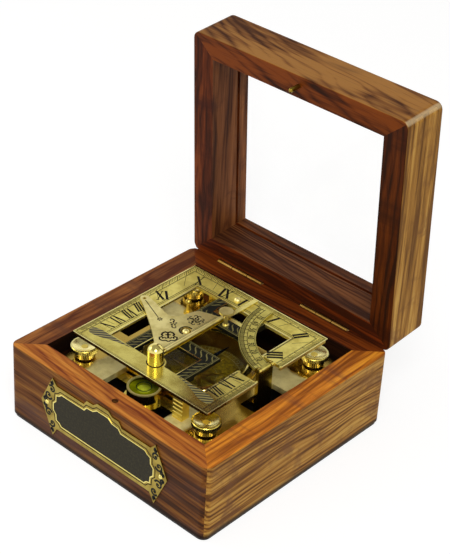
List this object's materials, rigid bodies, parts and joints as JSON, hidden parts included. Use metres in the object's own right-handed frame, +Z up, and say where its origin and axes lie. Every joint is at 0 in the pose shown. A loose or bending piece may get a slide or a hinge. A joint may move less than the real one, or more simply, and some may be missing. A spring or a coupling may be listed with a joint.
{
  "type": "sundial",
  "caption": "Folding inclining sundial with compass, level, hinged gnomon, tilting hour frame and latitude arc, in a square wooden box with a glazed hinged lid.",
  "frame": {"origin": "middle of the felt under the box", "axes": "+Z up; the label faces -Y; the lid's hinges are on the +Y side"},
  "size_m": [0.13, 0.1556, 0.1705],
  "materials": {
    "wood": "satin lacquer",
    "dark_wood": "matte",
    "felt": "matte felt",
    "pane": "clear",
    "brass": "polished",
    "pale_brass": "polished",
    "dull_brass": "satin",
    "dark_enamel": "gloss black filling with pale lines",
    "card": "matte",
    "blued_steel": "blued",
    "fluid": "clear green",
    "bubble": "clear"
  },
  "bodies": {
    "box": {"base_front_rail": "wood", "base_back_rail": "wood", "base_left_rail": "wood", "base_right_rail": "wood", "base_floor": "dark_wood", "base_felt": "felt", "base_lining": "felt", "hinge_left_base_leaf": "brass", "hinge_left_pin": "pale_brass", "hinge_right_base_leaf": "brass", "hinge_right_pin": "pale_brass", "hinge_base_screws": "pale_brass", "label_plate": "brass", "label_nails": "pale_brass"},
    "lid": {"lid_front_rail": "wood", "lid_back_rail": "wood", "lid_left_rail": "wood", "lid_right_rail": "wood", "lid_glass": "pane", "hinge_left_lid_leaf": "brass", "hinge_right_lid_leaf": "brass", "hinge_lid_screws": "pale_brass", "catch_pin": "brass"},
    "instrument": {"base_plate": "brass", "compass_bowl": "dull_brass", "compass_bezel": "pale_brass", "compass_card": "card", "compass_pivot": "brass", "compass_glass": "pane", "level_bracket": "brass", "level_housing": "brass", "level_fluid": "fluid", "level_bubble": "bubble", "level_glass": "pane", "level_ring": "pale_brass", "plate_posts": "brass", "frame_posts": "brass", "arc_bracket": "brass", "plate_screws": "pale_brass", "arc_pin": "pale_brass"},
    "needle": {"compass_needle": "blued_steel"},
    "frame": {"hour_frame": "brass", "frame_ears": "brass", "frame_pins": "pale_brass", "gnomon_bridge": "dark_enamel", "back_bridge": "dark_enamel", "noon_bar": "pale_brass", "frame_screws": "pale_brass", "lifting_knob": "pale_brass", "gnomon_pin": "pale_brass"},
    "gnomon": {"gnomon_plate": "brass"},
    "arc": {"latitude_arc": "brass"},
    "stem_front_left": {"screw_stem_front_left": "pale_brass"},
    "head_front_left": {"screw_head_front_left": "brass"},
    "stem_front_right": {"screw_stem_front_right": "pale_brass"},
    "head_front_right": {"screw_head_front_right": "brass"},
    "stem_back_left": {"screw_stem_back_left": "pale_brass"},
    "head_back_left": {"screw_head_back_left": "brass"},
    "stem_back_right": {"screw_stem_back_right": "pale_brass"},
    "head_back_right": {"screw_head_back_right": "brass"}
  },
  "joints": [
    {"name": "lid_hinge", "type": "hinge", "parent": "box", "child": "lid", "pos_m": [0, 0.0635, 0.0419], "axis": [-1, 0, 0], "range_deg": [-86.5, 0]},
    {"name": "instrument_lift", "type": "slide", "parent": "box", "child": "instrument", "axis": [0, 0, 1], "range_m": [0, 0.045]},
    {"name": "frame_tilt", "type": "hinge", "parent": "instrument", "child": "frame", "pos_m": [0, 0.041, 0.0446], "axis": [-1, 0, 0], "range_deg": [0, 60]},
    {"name": "arc_raise", "type": "hinge", "parent": "instrument", "child": "arc", "pos_m": [0.0392, 0.0018, 0.0506], "axis": [0, 1, 0], "range_deg": [0, 90]},
    {"name": "gnomon_fold", "type": "hinge", "parent": "frame", "child": "gnomon", "pos_m": [-0.0008, -0.0038, 0.0518], "axis": [0, 1, 0], "range_deg": [0, 90]},
    {"name": "needle_turn", "type": "hinge", "parent": "instrument", "child": "needle", "pos_m": [0, 0, 0.0314], "axis": [0, 0, 1], "continuous": true},
    {"name": "level_stem_front_left", "type": "slide", "parent": "instrument", "child": "stem_front_left", "axis": [0, 0, 1], "range_m": [0, 0.003]},
    {"name": "level_turn_front_left", "type": "hinge", "parent": "stem_front_left", "child": "head_front_left", "pos_m": [-0.04, -0.038, 0.039], "axis": [0, 0, 1], "range_deg": [0, 1080]},
    {"name": "level_stem_front_right", "type": "slide", "parent": "instrument", "child": "stem_front_right", "axis": [0, 0, 1], "range_m": [0, 0.003]},
    {"name": "level_turn_front_right", "type": "hinge", "parent": "stem_front_right", "child": "head_front_right", "pos_m": [0.04, -0.038, 0.039], "axis": [0, 0, 1], "range_deg": [0, 1080]},
    {"name": "level_stem_back_left", "type": "slide", "parent": "instrument", "child": "stem_back_left", "axis": [0, 0, 1], "range_m": [0, 0.003]},
    {"name": "level_turn_back_left", "type": "hinge", "parent": "stem_back_left", "child": "head_back_left", "pos_m": [-0.04, 0.038, 0.039], "axis": [0, 0, 1], "range_deg": [0, 1080]},
    {"name": "level_stem_back_right", "type": "slide", "parent": "instrument", "child": "stem_back_right", "axis": [0, 0, 1], "range_m": [0, 0.003]},
    {"name": "level_turn_back_right", "type": "hinge", "parent": "stem_back_right", "child": "head_back_right", "pos_m": [0.04, 0.038, 0.039], "axis": [0, 0, 1], "range_deg": [0, 1080]}
  ],
  "couplings": [
    {"joint": "arc_raise", "follows": "frame_tilt", "ratio": 1.5},
    {"joint": "level_stem_front_left", "follows": "level_turn_front_left", "m_per_rad": 0.00015915},
    {"joint": "level_stem_front_right", "follows": "level_turn_front_right", "m_per_rad": 0.00015915},
    {"joint": "level_stem_back_left", "follows": "level_turn_back_left", "m_per_rad": 0.00015915},
    {"joint": "level_stem_back_right", "follows": "level_turn_back_right", "m_per_rad": 0.00015915}
  ]
}
